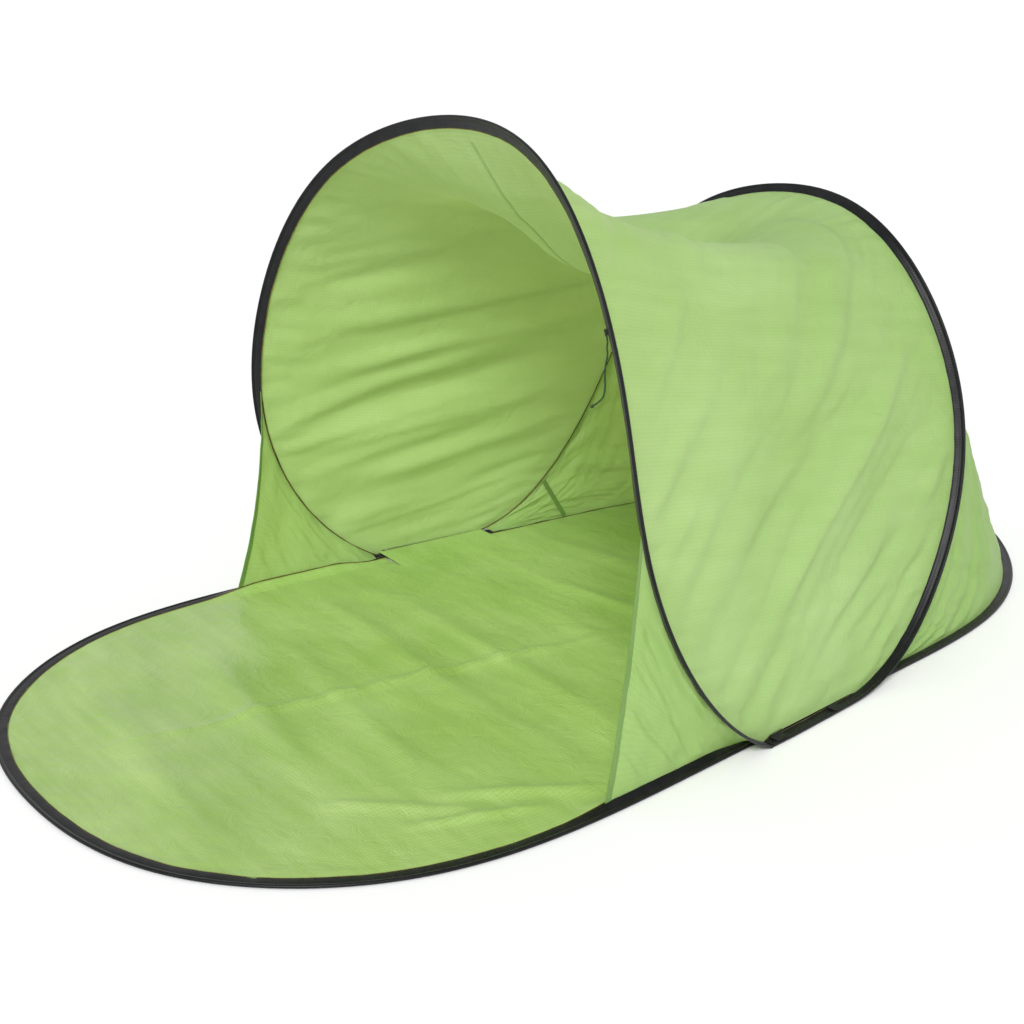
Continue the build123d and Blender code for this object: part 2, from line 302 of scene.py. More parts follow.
# ---------------------------------------------------------------- noise and folds
def noise(x, y, seed, octaves=3):
    """Smooth noise about 0 over two arrays. Each octave is half as high and twice as fine as the last."""
    total = np.zeros(np.broadcast(x, y).shape)
    weight = 1.0
    for octave in range(octaves):
        table = np.random.default_rng(seed + octave).random((64, 64)) * 2 - 1
        fx, fy = x * 2**octave, y * 2**octave
        ix, iy = np.floor(fx).astype(int), np.floor(fy).astype(int)
        tx, ty = smooth(fx - ix), smooth(fy - iy)
        a, b = table[ix % 64, iy % 64], table[(ix + 1) % 64, iy % 64]
        c, d = table[ix % 64, (iy + 1) % 64], table[(ix + 1) % 64, (iy + 1) % 64]
        total = total + weight * ((a * (1 - tx) + b * tx) * (1 - ty) + (c * (1 - tx) + d * tx) * ty)
        weight /= 2
    return total


def folds(x, y, lines):
    """Soft ridges along straight lines: (x0, y0, x1, y1, width, height) for each."""
    total = np.zeros(np.broadcast(x, y).shape)
    for x0, y0, x1, y1, width, height in lines:
        length = math.hypot(x1 - x0, y1 - y0)
        ax, ay = (x1 - x0) / length, (y1 - y0) / length
        along = ((x - x0) * ax + (y - y0) * ay) / length
        off = ((y - y0) * ax - (x - x0) * ay) / width
        total = total + height * np.exp(-off * off) * smooth(along * 3) * smooth((1 - along) * 3)
    return total


def drift(x, y, angle, long, short, seed):
    """Noise stretched along a direction: soft folds about long by short metres that run at an angle."""
    along = x * math.cos(angle) + y * math.sin(angle)
    across = y * math.cos(angle) - x * math.sin(angle)
    wander = noise(along / long, across / (4 * short), seed + 70, 2) * 0.6
    return noise(along / long, across / short + wander, seed)


def sharp(value):
    """Noise turned into rounded hollows between narrower crests, as in cloth pulled tight."""
    return 1 - 2 * np.sqrt(value * value + 0.02)


# ---------------------------------------------------------------- materials
def nodes_of(name):
    material = bpy.data.materials.new(name)
    material.use_nodes = True
    tree = material.node_tree
    tree.nodes.clear()
    return material, tree


def link(tree, source, target):
    tree.links.new(source, target)


def add(tree, kind, **values):
    node = tree.nodes.new(kind)
    for key, value in values.items():
        if hasattr(node, key):
            setattr(node, key, value)
        else:
            node.inputs[key.replace("_", " ")].default_value = value
    return node


def two_colours(tree, factor, low, high):
    """A colour that goes from low to high with a factor."""
    ramp = add(tree, "ShaderNodeValToRGB")
    ramp.color_ramp.elements[0].color = (*low, 1)
    ramp.color_ramp.elements[1].color = (*high, 1)
    link(tree, factor, ramp.inputs["Fac"])
    return ramp.outputs["Color"]


def threads(tree, place, size):
    """A plain weave: threads both ways across the cloth's own coordinates."""
    heights = []
    for direction in ("X", "Y"):
        wave = add(tree, "ShaderNodeTexWave", wave_type="BANDS", bands_direction=direction)
        wave.inputs["Scale"].default_value = 1 / (size * 20)
        wave.inputs["Distortion"].default_value = 0.3
        link(tree, place, wave.inputs["Vector"])
        heights.append(wave.outputs["Fac"])
    product = add(tree, "ShaderNodeMath", operation="ADD")
    link(tree, heights[0], product.inputs[0])
    link(tree, heights[1], product.inputs[1])
    return product.outputs["Value"]


WEAVE_SIZE = 0.0009


def cloth_material(name, dark, light, through, glow, crinkle=0.7, gloss=0.0, seed=0.0):
    """Thin coated polyester: a fine weave, soft streaks of colour, creases, sheen, and light
    coming through."""
    material, tree = nodes_of(name)
    place = add(tree, "ShaderNodeTexCoord")
    cloth = place.outputs["UV"]
    streaks = add(tree, "ShaderNodeMapping")
    streaks.inputs["Scale"].default_value = (3, 22, 1)
    streaks.inputs["Location"].default_value = (seed, seed * 2, 0)
    link(tree, cloth, streaks.inputs["Vector"])
    broad = add(tree, "ShaderNodeTexNoise", noise_dimensions="2D", Scale=1.6, Detail=4.0, Roughness=0.55)
    link(tree, streaks.outputs["Vector"], broad.inputs["Vector"])
    patches = add(tree, "ShaderNodeTexNoise", Scale=3.5, Detail=3.0, Roughness=0.5)
    link(tree, place.outputs["Object"], patches.inputs["Vector"])
    blend = add(tree, "ShaderNodeMath", operation="MULTIPLY_ADD")
    link(tree, broad.outputs["Fac"], blend.inputs[0])
    blend.inputs[1].default_value = 0.45
    link(tree, patches.outputs["Fac"], blend.inputs[2])
    spread = add(tree, "ShaderNodeMapRange")
    spread.inputs["From Min"].default_value = 0.45
    spread.inputs["From Max"].default_value = 1.0
    link(tree, blend.outputs["Value"], spread.inputs["Value"])
    base = two_colours(tree, spread.outputs["Result"], dark, light)
    weft = threads(tree, cloth, WEAVE_SIZE)
    mixed = add(tree, "ShaderNodeMix", data_type="RGBA", blend_type="MULTIPLY")
    mixed.inputs["Factor"].default_value = 0.14
    link(tree, base, mixed.inputs["A"])
    half = add(tree, "ShaderNodeMath", operation="MULTIPLY")
    half.inputs[1].default_value = 0.5
    link(tree, weft, half.inputs[0])
    link(tree, half.outputs["Value"], mixed.inputs["B"])
    colour = mixed.outputs["Result"]
    creases = add(tree, "ShaderNodeTexNoise", Scale=16.0, Detail=5.0, Roughness=0.62)
    creases.inputs["Distortion"].default_value = 1.2
    link(tree, place.outputs["Object"], creases.inputs["Vector"])
    crease_bump = add(tree, "ShaderNodeBump")
    crease_bump.inputs["Strength"].default_value = crinkle
    crease_bump.inputs["Distance"].default_value = 0.0045
    link(tree, creases.outputs["Fac"], crease_bump.inputs["Height"])
    weave_bump = add(tree, "ShaderNodeBump")
    weave_bump.inputs["Strength"].default_value = 0.25
    weave_bump.inputs["Distance"].default_value = 0.00015
    link(tree, weft, weave_bump.inputs["Height"])
    link(tree, crease_bump.outputs["Normal"], weave_bump.inputs["Normal"])
    shader = add(tree, "ShaderNodeBsdfPrincipled")
    shader.inputs["Sheen Weight"].default_value = 0.12
    shader.inputs["Sheen Roughness"].default_value = 0.4
    shader.inputs["Specular IOR Level"].default_value = 0.5
    rough = add(tree, "ShaderNodeMapRange")
    rough.inputs["To Min"].default_value = 0.40 - gloss
    rough.inputs["To Max"].default_value = 0.54 - gloss
    link(tree, patches.outputs["Fac"], rough.inputs["Value"])
    link(tree, rough.outputs["Result"], shader.inputs["Roughness"])
    link(tree, colour, shader.inputs["Base Color"])
    link(tree, weave_bump.outputs["Normal"], shader.inputs["Normal"])
    glowing = add(tree, "ShaderNodeBsdfTranslucent")
    glowing.inputs["Color"].default_value = (*through, 1)
    link(tree, weave_bump.outputs["Normal"], glowing.inputs["Normal"])
    both = add(tree, "ShaderNodeMixShader")
    both.inputs["Fac"].default_value = glow
    link(tree, shader.outputs["BSDF"], both.inputs[1])
    link(tree, glowing.outputs["BSDF"], both.inputs[2])
    output = add(tree, "ShaderNodeOutputMaterial")
    link(tree, both.outputs["Shader"], output.inputs["Surface"])
    return material


def tape_material(name, dark, light, ribs, roughness, metallic=0.0):
    """Woven tape, webbing, thread, cord or metal: fine ribs, uneven colour and worn high spots."""
    material, tree = nodes_of(name)
    place = add(tree, "ShaderNodeTexCoord")
    uneven = add(tree, "ShaderNodeTexNoise", Scale=38.0, Detail=5.0, Roughness=0.6)
    link(tree, place.outputs["Object"], uneven.inputs["Vector"])
    wear = add(tree, "ShaderNodeMapRange")
    wear.inputs["From Min"].default_value = 0.42
    wear.inputs["From Max"].default_value = 0.77
    link(tree, uneven.outputs["Fac"], wear.inputs["Value"])
    colour = two_colours(tree, wear.outputs["Result"], dark, light)
    rib = threads(tree, place.outputs["UV"], ribs)
    bump = add(tree, "ShaderNodeBump")
    bump.inputs["Strength"].default_value = 0.5
    bump.inputs["Distance"].default_value = ribs * 0.25
    link(tree, rib, bump.inputs["Height"])
    shader = add(tree, "ShaderNodeBsdfPrincipled")
    shader.inputs["Metallic"].default_value = metallic
    shader.inputs["Specular IOR Level"].default_value = 0.22
    shader.inputs["Sheen Weight"].default_value = 0.0 if metallic else 0.05
    rough = add(tree, "ShaderNodeMapRange")
    rough.inputs["To Min"].default_value = roughness - 0.08
    rough.inputs["To Max"].default_value = roughness + 0.1
    link(tree, uneven.outputs["Fac"], rough.inputs["Value"])
    link(tree, rough.outputs["Result"], shader.inputs["Roughness"])
    link(tree, colour, shader.inputs["Base Color"])
    link(tree, bump.outputs["Normal"], shader.inputs["Normal"])
    output = add(tree, "ShaderNodeOutputMaterial")
    link(tree, shader.outputs["BSDF"], output.inputs["Surface"])
    return material


CANOPY = cloth_material(
    "canopy cloth", (0.385, 0.570, 0.215), (0.50, 0.675, 0.33), (0.90, 1.0, 0.54), 0.45
)
# The walls' cloth is the canopy's cloth made darker: painted shade on the skirts and the rear wall
SHADED_WALL_CLOTH = cloth_material(
    "wall cloth darkened for shade", (0.34, 0.53, 0.18), (0.44, 0.62, 0.27), (0.88, 1.0, 0.50), 0.47, seed=3.0
)
FLOOR = cloth_material(
    "groundsheet cloth",
    (0.31, 0.50, 0.10),
    (0.47, 0.66, 0.22),
    (0.5, 0.7, 0.1),
    0.08,
    gloss=0.14,
    seed=7.0,
)
HEM = cloth_material(
    "hem cloth", (0.15, 0.30, 0.06), (0.24, 0.40, 0.11), (0.25, 0.45, 0.08), 0.2, crinkle=0.3
)
EDGING = tape_material("seam edging", (0.10, 0.085, 0.012), (0.24, 0.20, 0.03), 0.0006, 0.6)
TAPE = tape_material("binding tape", (0.0035, 0.0038, 0.0045), (0.009, 0.0095, 0.011), 0.0008, 0.40)
THREAD = tape_material("stitching", (0.010, 0.009, 0.007), (0.030, 0.026, 0.018), 0.0004, 0.55)
WEB = tape_material("webbing", (0.006, 0.0065, 0.007), (0.018, 0.019, 0.021), 0.0012, 0.6)
CORD = tape_material("cord", (0.02, 0.045, 0.02), (0.05, 0.10, 0.04), 0.0009, 0.7)
STEEL = tape_material("spring steel", (0.30, 0.30, 0.31), (0.45, 0.45, 0.46), 0.0006, 0.35, 1.0)
ALUMINIUM = tape_material("ferrule", (0.62, 0.63, 0.64), (0.75, 0.76, 0.78), 0.0005, 0.38, 1.0)


# ---------------------------------------------------------------- meshes
def mesh_piece(name, points, faces, material, uv=None, shade=True):
    mesh = bpy.data.meshes.new(name)
    mesh.from_pydata([tuple(p) for p in points], [], faces)
    if uv is not None:
        layer = mesh.uv_layers.new(name="cloth")
        loops = np.zeros(len(mesh.loops), int)
        mesh.loops.foreach_get("vertex_index", loops)
        layer.data.foreach_set("uv", np.asarray(uv, float)[loops].ravel())
    mesh.materials.append(material)
    mesh.validate()
    if shade:
        mesh.polygons.foreach_set("use_smooth", [True] * len(mesh.polygons))
    piece = bpy.data.objects.new(name, mesh)
    bpy.context.collection.objects.link(piece)
    return piece


def grid_faces(rows, columns):
    index = np.arange(rows * columns).reshape(rows, columns)
    quads = np.stack([index[:-1, :-1], index[1:, :-1], index[1:, 1:], index[:-1, 1:]], axis=-1)
    return quads.reshape(-1, 4).tolist()


def grid_uv(grid):
    """Coordinates along the cloth itself, in metres."""
    across = np.concatenate([[0], np.cumsum(np.linalg.norm(np.diff(grid, axis=1), axis=-1).mean(0))])
    down = np.concatenate([[0], np.cumsum(np.linalg.norm(np.diff(grid, axis=0), axis=-1).mean(1))])
    return np.stack(np.meshgrid(across, down), axis=-1).reshape(-1, 2)


def grid_normals(grid):
    along = np.gradient(grid, axis=0)
    across = np.gradient(grid, axis=1)
    normal = np.cross(along, across)
    return normal / np.maximum(np.linalg.norm(normal, axis=-1, keepdims=True), 1e-12)


def cloth_piece(name, grid, material, thickness=CLOTH):
    rows, columns, _ = grid.shape
    piece = mesh_piece(name, grid.reshape(-1, 3), grid_faces(rows, columns), material, grid_uv(grid))
    ends = np.zeros(len(piece.data.edges) * 2, int)
    piece.data.edges.foreach_get("vertices", ends)
    row, column = np.divmod(ends.reshape(-1, 2), columns)
    on_row = (row[:, 0] == row[:, 1]) & np.isin(row[:, 0], (0, rows - 1))
    on_column = (column[:, 0] == column[:, 1]) & np.isin(column[:, 0], (0, columns - 1))
    sharp_edge = piece.data.attributes.new("sharp_edge", "BOOLEAN", "EDGE")
    sharp_edge.data.foreach_set("value", on_row | on_column)
    solid = piece.modifiers.new("thickness", "SOLIDIFY")
    solid.thickness = thickness
    solid.offset = 0
    return piece


def tape_profile():
    """The tape's section: the wire's tunnel at its outer edge, two rows of stitching, and the
    sewn edge."""
    top = [
        (WIRE_OFFSET + TUNNEL, 0.0),
        (WIRE_OFFSET + 0.92 * TUNNEL, 0.39 * TUNNEL),
        (WIRE_OFFSET + 0.71 * TUNNEL, 0.71 * TUNNEL),
        (WIRE_OFFSET + 0.38 * TUNNEL, 0.92 * TUNNEL),
        (WIRE_OFFSET, TUNNEL),
        (WIRE_OFFSET - 0.5 * TUNNEL, 0.88 * TUNNEL),
        (WIRE_OFFSET - TUNNEL, 0.62 * TUNNEL),
        (0.0042, 0.0011),
        (0.0032, 0.0008),
        (0.0022, 0.0011),
        (-0.0010, FLANGE),
        (-0.0045, FLANGE),
        (-0.0080, FLANGE),
        (-0.0088, 0.0007),
        (-0.0096, FLANGE * 0.95),
        (-0.0106, FLANGE * 0.7),
        (-0.0110, 0.0),
    ]
    return np.array(top + [(x, -y) for x, y in reversed(top[1:-1])])


PROFILE = tape_profile()
# The thin line of edging that shows along the sewn edge
EDGE_PROFILE = np.array(
    [(-0.0104, 0.0008), (-0.0116, 0.0009), (-0.0118, 0), (-0.0116, -0.0009), (-0.0104, -0.0008)]
)


def softness(x):
    """How far the tape gives at a place across its flat: 0 by the wire's tunnel, 1 near the sewn edge."""
    return smooth((0.006 - x) / 0.014)


def tape_rings(frames, x, y):
    """Rings of points across a tape, from places on its centreline and the ways out and square to it."""
    place, out, side, _ = frames
    return place[:, None] + out[:, None] * x[..., None] + side[:, None] * y[..., None]


def tape_piece(name, path, shares, body, node, tilt, seed):
    """A stretch of binding tape, with the small puckers that sewing leaves in its flat."""
    frames = stations(path, shares, tilt)
    reach = shares * path.length
    pucker = noise(reach * 28, np.full_like(reach, 0.3), seed, 3) * 0.0006
    ease = noise(reach * 14, np.full_like(reach, 5.3), seed + 9, 2) * 0.0005
    soft = softness(PROFILE[:, 0])
    x = PROFILE[None, :, 0] + ease[:, None] * soft
    y = PROFILE[None, :, 1] + pucker[:, None] * soft
    around = np.concatenate([[0], np.cumsum(np.linalg.norm(np.diff(PROFILE, axis=0), axis=1))])
    piece = ring_piece(name, tape_rings(frames, x, y), reach, around, TAPE, body)
    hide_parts(node)
    x = EDGE_PROFILE[None, :, 0] + ease[:, None]
    y = EDGE_PROFILE[None, :, 1] + pucker[:, None]
    ring_piece(f"{name}_edging", tape_rings(frames, x, y), reach, EDGE_PROFILE[:, 1], EDGING, body)
    stitch_piece(f"{name}_stitching", path, shares, tilt, body, pucker, ease)


def ring_piece(name, rings, reach, around, material, body):
    """A closed tube through rings of points, with flat ends."""
    rows, columns = rings.shape[:2]
    index = np.arange(rows * columns).reshape(rows, columns)
    following = np.roll(index, -1, axis=1)
    quads = np.stack([index[:-1], index[1:], following[1:], following[:-1]], axis=-1)
    quads = quads.reshape(-1, 4).tolist()
    quads.append(index[0].tolist())
    quads.append(index[-1][::-1].tolist())
    uv = np.stack(np.meshgrid(around, reach), axis=-1).reshape(-1, 2)
    piece = mesh_piece(name, rings.reshape(-1, 3), quads, material, uv)
    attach(piece, body)
    return piece


# A stitch: its corners along the tape, across it and off its face, in half sizes, and its faces
STITCH = np.array(
    [
        (-1, 0, -1),
        (-0.6, 1, 0),
        (0.6, 1, 0),
        (1, 0, -1),
        (0.6, -1, 0),
        (-0.6, -1, 0),
        (-0.5, 0, 1),
        (0.5, 0, 1),
    ]
)
STITCH_FACES = [
    (0, 1, 6),
    (1, 2, 7, 6),
    (2, 3, 7),
    (0, 6, 5),
    (5, 6, 7, 4),
    (3, 4, 7),
    (0, 5, 4, 3, 2, 1),
]


def stitch_piece(name, path, shares, tilt, body, pucker, ease):
    """Short raised stitches in two rows on both faces of the tape."""
    count = int((shares[-1] - shares[0]) * path.length / STITCH_PITCH)
    middle = shares[0] + (np.arange(count) + 0.5) * STITCH_PITCH / path.length
    tilts = None if tilt is None else np.interp(middle, shares, tilt)
    place, out, side, along = stations(path, middle, tilts)
    lift = np.interp(middle, shares, pucker)
    slide = np.interp(middle, shares, ease)
    points, faces = [], []
    for row_x in STITCH_ROWS:
        soft = float(softness(np.array(row_x)))
        for face in (1, -1):
            centre = place + out * (row_x + slide * soft)[:, None]
            centre = centre + side * (face * STITCH_LIFT + lift * soft)[:, None]
            for k in range(count):
                base = len(points)
                shape = (
                    centre[k]
                    + STITCH[:, :1] * along[k] * STITCH_LONG / 2
                    + STITCH[:, 1:2] * out[k] * STITCH_WIDE / 2
                    + STITCH[:, 2:] * side[k] * face * STITCH_HIGH / 2
                )
                points.extend(shape)
                faces.extend([[base + i for i in f[::face]] for f in STITCH_FACES])
    piece = mesh_piece(name, points, faces, THREAD, shade=False)
    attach(piece, body)


def loop_shares(path, start, end):
    """Shares of a path's length from start to end metres along it, a tape section every 4 mm."""
    count = int((end - start) / TAPE_SPACING) + 1
    return np.linspace(start, end, count) / path.length


def follow(piece, body_a, body_b, shares, start, end):
    """Bakes the piece's placement into its mesh. body_a, body_b, shares, start and end are not used."""
    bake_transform(piece)


# ---------------------------------------------------------------- binding tapes
for name, path, body, node, seed in (
    ("front_mat_tape", front_mat, "front_mat", "front_floor_binding", 11),
    ("rear_floor_tape", rear_floor, "rear_floor", "rear_floor_binding", 21),
    ("side_tape_right", side_right, "rear_frame", "side_floor_binding_right", 31),
    ("side_tape_left", side_left, "rear_frame", "side_floor_binding_left", 41),
    ("front_arch_tape", front_arch, "front_arch", "front_arch_binding", 51),
    ("rear_arch_tape", rear_arch, "rear_frame", "rear_arch_binding", 61),
):
    shares = loop_shares(path, -REST_GAP, path.length + REST_GAP)
    tape_piece(name, path, shares, body, node, mat_tilt(shares) if path is front_mat else None, seed)


# ---------------------------------------------------------------- canopy
CANOPY_BLEND = ((0, 0.3, 0.4), (0, -0.3, 0.4))


def canopy_grid(rows, columns):
    """Points of the canopy: across runs from the right tack over the ridge to the left, and back
    from front to rear."""
    across = np.linspace(0, 1, rows)
    back = np.linspace(0, 1, columns)
    front = seam(front_arch, across, SEWN_IN)
    rear = seam(rear_arch, SIDE_SHARE + across * (1 - 2 * SIDE_SHARE), SEWN_IN)
    grid = front[:, None] + (rear - front)[:, None] * back[None, :, None]
    down = np.abs(1 - 2 * across)[:, None]
    side = np.sign(0.5 - across)[:, None]
    lean = np.radians(90) * np.minimum(1, CANOPY_LEAN * down)
    at_ridge = RIDGE_SAG - RIDGE_SAG_EASE * back[None, :] ** 2
    depth = at_ridge + (SIDE_SAG - at_ridge) * smooth(down / DISH_SHARE)
    sag = 4 * back * (1 - back) * depth * (1 - down**4)
    grid = grid - np.stack([np.sin(lean) * side * sag, np.zeros_like(sag), np.cos(lean) * sag], axis=-1)
    lift = np.maximum(0, CANOPY_LOWEST - grid[..., 2]) * smooth(back * 12) * smooth((1 - back) * 12)
    grid[..., 2] += lift
    across = np.broadcast_to(across[:, None], sag.shape)
    return grid, across, np.broadcast_to(back[None, :], sag.shape)


# Folds across the canopy's two halves as seen from the side, in metres: y and height at each end,
# then width and depth
NEAR_FOLDS = (
    (-0.08, 0.10, 0.44, 0.47, 0.022, 0.010),
    (-0.04, 0.05, 0.42, 0.33, 0.018, 0.009),
    (-0.12, 0.17, 0.40, 0.58, 0.026, -0.009),
    (0.02, 0.06, 0.40, 0.22, 0.016, 0.007),
    (-0.20, 0.26, 0.20, 0.52, 0.024, 0.007),
    (-0.26, 0.42, 0.34, 0.50, 0.020, 0.006),
    (-0.30, 0.55, 0.30, 0.60, 0.022, -0.005),
    (-0.28, 0.66, 0.36, 0.66, 0.022, 0.005),
)
FAR_FOLDS = (
    (-0.36, 0.42, 0.42, 0.50, 0.024, 0.012),
    (-0.34, 0.34, 0.44, 0.42, 0.022, -0.010),
    (-0.36, 0.52, 0.44, 0.58, 0.022, 0.009),
    (-0.30, 0.26, 0.44, 0.34, 0.020, 0.010),
    (-0.36, 0.62, 0.40, 0.64, 0.024, -0.008),
    (-0.24, 0.17, 0.40, 0.26, 0.018, 0.009),
    (-0.34, 0.72, 0.30, 0.70, 0.022, 0.007),
    (-0.16, 0.10, 0.34, 0.17, 0.016, -0.007),
)


def canopy():
    grid, across, back = canopy_grid(281, 97)
    middle = len(grid) // 2
    held = smooth(np.minimum(back, 1 - back) * 9)
    away = smooth(np.minimum(across, 1 - across) * 25)
    y, z = grid[..., 1], grid[..., 2]
    on_right = smooth((0.52 - across) * 12)
    near = sharp(drift(y, z, 0.68, 0.60, 0.095, 5)) * 0.0085 + drift(y, z, 0.9, 0.3, 0.05, 6) * 0.0015
    far = sharp(drift(y, z, 0.12, 0.70, 0.060, 7)) * 0.0052 + drift(y, z, 0.1, 0.3, 0.03, 8) * 0.0012
    near = near + folds(y, z, NEAR_FOLDS)
    far = far + folds(y, z, FAR_FOLDS)
    bumps = near * on_right + far * (1 - on_right)
    to_edge = np.minimum(back, 1 - back)
    puckers = noise(across * 130, back * 3, 15, 2) * 0.0030
    near_tape = smooth(to_edge * 40) * smooth(1 - to_edge * 5)
    grid = grid + grid_normals(grid) * (bumps * held * away + puckers * near_tape * away)[..., None]
    piece = cloth_piece("canopy", grid, CANOPY)
    follow(piece, "rear_frame", "front_arch", 1 - back, *CANOPY_BLEND)
    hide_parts("canopy_panel_right", "canopy_panel_left")
    strip = grid[middle - 1 : middle + 2, 2:-2]
    ridge = strip[1]
    half = RIDGE_STRIP / np.linalg.norm(strip[0] - ridge, axis=-1, keepdims=True)
    seam_strip = cloth_piece("ridge_seam_strip", ridge + (strip - ridge) * half, CANOPY, RIDGE_SEAM)
    shares = 1 - back[middle - 1 : middle + 2, 2:-2]
    follow(seam_strip, "rear_frame", "front_arch", shares, *CANOPY_BLEND)
    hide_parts("ridge_seam")


canopy()


# ---------------------------------------------------------------- skirts and rear wall
def skirt_grid(rows, columns, left):
    """Points of a side skirt: out runs from the tack to the free edge, and up from the floor to the
    arch."""
    out = np.linspace(0, 1, rows)
    up = np.linspace(0, 1, columns)
    low_start, high_start = SKIRT_START / front_mat.length, SKIRT_START / front_arch.length
    low_share = low_start + out * (SKIRT_ON_MAT - low_start)
    high_share = high_start + out * (SKIRT_ON_ARCH - high_start)
    low = mat_seam(low_share, SEWN_IN)
    high = seam(front_arch, high_share, SEWN_IN)
    grid = low[:, None] + (high - low)[:, None] * up[None, :, None]
    hollow = 4 * up * (1 - up) * SKIRT_HOLLOW * out[:, None]
    grid = grid + np.array((-0.5, 1, 0)) * hollow[..., None]
    if left:
        grid = grid * (-1, 1, 1)
    out = np.broadcast_to(out[:, None], hollow.shape)
    return grid, out, np.broadcast_to(up[None, :], hollow.shape)


def skirt(name, left):
    grid, out, up = skirt_grid(61, 85, left)
    held = smooth(np.minimum(up, 1 - up) * 8) * smooth(out * 5) * (0.15 + 0.85 * smooth((1 - out) * 5))
    y, z = grid[..., 1], grid[..., 2]
    bumps = sharp(drift(y, z, 2.1, 0.30, 0.035, 25 + left)) * 0.0050
    bumps = bumps + drift(y, z, 1.2, 0.20, 0.05, 35 + left) * 0.0030
    grid = grid + grid_normals(grid) * (bumps * held)[..., None]
    piece = cloth_piece(name, grid, SHADED_WALL_CLOTH)
    side, word = (-1, "left") if left else (1, "right")
    line = (side * 0.5, -0.3, 0.3), (side * 0.5, -0.3, 0.0)
    follow(piece, "front_arch", "front_mat", 1 - up, *line)
    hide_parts(f"skirt_{word}")
    hem = cloth_piece(f"{name}_hem", grid[-HEM_ROWS:], HEM, HEM_THICKNESS)
    follow(hem, "front_arch", "front_mat", 1 - up[-HEM_ROWS:], *line)
    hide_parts(f"skirt_hem_{word}")


skirt("right_skirt", 0)
skirt("left_skirt", 1)


def rear_wall():
    along = np.linspace(0, 1, 241)
    up = np.linspace(0, 1, 101)
    start_low = WALL_START / rear_floor.length
    start_high = SIDE_SHARE + WALL_START / rear_arch.length
    low = seam(rear_floor, start_low + along * (1 - 2 * start_low), SEWN_IN)
    high = seam(rear_arch, start_high + along * (1 - 2 * start_high), SEWN_IN)
    grid = low[:, None] + (high - low)[:, None] * up[None, :, None]
    held = smooth(np.minimum(up, 1 - up) * 9) * smooth(np.minimum(along, 1 - along) * 14)[:, None]
    # Metres along the wall and up it, near enough for the folds
    along_wall = np.broadcast_to(along[:, None], held.shape) * WALL_LENGTH
    up_wall = np.broadcast_to(up[None, :], held.shape) * 0.6
    bumps = sharp(drift(along_wall, up_wall, 0.9, 0.35, 0.070, 45)) * 0.0060
    bumps = bumps + drift(along_wall, up_wall, -0.8, 0.25, 0.045, 55) * 0.0035
    grid = grid + grid_normals(grid) * (bumps * held)[..., None]
    piece = cloth_piece("rear_wall_cloth", grid, SHADED_WALL_CLOTH)
    shares = np.broadcast_to(1 - up[None, :], held.shape)
    follow(piece, "rear_frame", "rear_floor", shares, (0, 0.7, 0.6), (0, 0.7, 0.0))
    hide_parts("rear_wall_right", "rear_wall_left")


rear_wall()


# ---------------------------------------------------------------- groundsheet
# Folds in the groundsheet seen from above, in metres: x and y at each end, then width and height
MAT_FOLDS = (
    (-0.46, -0.62, 0.34, -0.78, 0.030, 0.009),
    (-0.40, -0.50, 0.40, -0.62, 0.026, 0.008),
    (-0.30, -0.86, 0.30, -0.96, 0.030, 0.007),
    (-0.48, -0.34, 0.30, -0.42, 0.026, 0.007),
    (-0.42, -0.22, 0.50, -0.27, 0.022, 0.006),
    (-0.10, -1.02, 0.10, 0.10, 0.008, 0.008),
    (0.34, -0.66, 0.52, -0.40, 0.012, 0.008),
    (0.40, -0.74, 0.50, -0.50, 0.010, 0.007),
    (0.26, -0.80, 0.46, -0.58, 0.014, 0.006),
    (-0.30, 0.05, 0.40, 0.15, 0.020, 0.006),
    (-0.45, 0.22, 0.35, 0.30, 0.024, 0.006),
    (-0.25, 0.40, 0.25, 0.55, 0.030, 0.007),
    (-0.20, 0.72, 0.25, 0.66, 0.030, 0.007),
)


def floor_height(x, y, room):
    """The groundsheet's height: soft folds and creases, down to the tape's level at its edge."""
    inside = smooth(room / FLOOR_EDGE)
    height = folds(x, y, MAT_FOLDS) + (sharp(drift(x, y, -0.15, 0.80, 0.11, 65)) + 0.9) * 0.0022
    height = height + drift(x, y, 0.7, 0.22, 0.05, 75) * 0.0009
    puckers = (noise(x * 38, y * 38, 85, 2) + 0.7) * 0.0016
    puckers = puckers * smooth(room / 0.012) * smooth(1 - room / FLOOR_EDGE)
    return FLOOR_LEVEL + np.maximum(height, 0) * inside + puckers


def floor_piece(name, grid, body, node):
    """A groundsheet panel, pulled flat between its tapes."""
    piece = cloth_piece(name, grid, FLOOR)
    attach(piece, body)
    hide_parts(node)


# Shares of a panel's half width, closer together toward the tapes
FLOOR_COLUMNS = np.sin(np.linspace(-math.pi / 2, math.pi / 2, 141))


def ground_grid(edge, limit, flip):
    """A groundsheet panel from the hinge line to the tip of its loop. edge is the right half of its
    sewn edge."""
    order = np.argsort(edge[:, 1])
    ys, xs, zs = edge[order, 1], edge[order, 0], edge[order, 2]
    tip = edge[-1, 1]
    start = limit - math.copysign(JOIN_LAP, tip)
    angle = np.linspace(0, math.pi / 2, 110)
    y = start + (tip - start) * np.sin(angle)
    half = np.interp(y, ys, xs)
    level = np.interp(y, ys, zs)
    x = half[:, None] * FLOOR_COLUMNS[None, :]
    yy = np.broadcast_to(y[:, None], x.shape)
    room = np.minimum(half[:, None] - np.abs(x), np.abs(tip - yy))
    z = floor_height(x, yy, room)
    rim = smooth(1 - room / FLOOR_RIM)
    z = z * (1 - rim) + level[:, None] * rim
    grid = np.stack([x, yy, z], axis=-1)
    return grid[::-1] if flip else grid


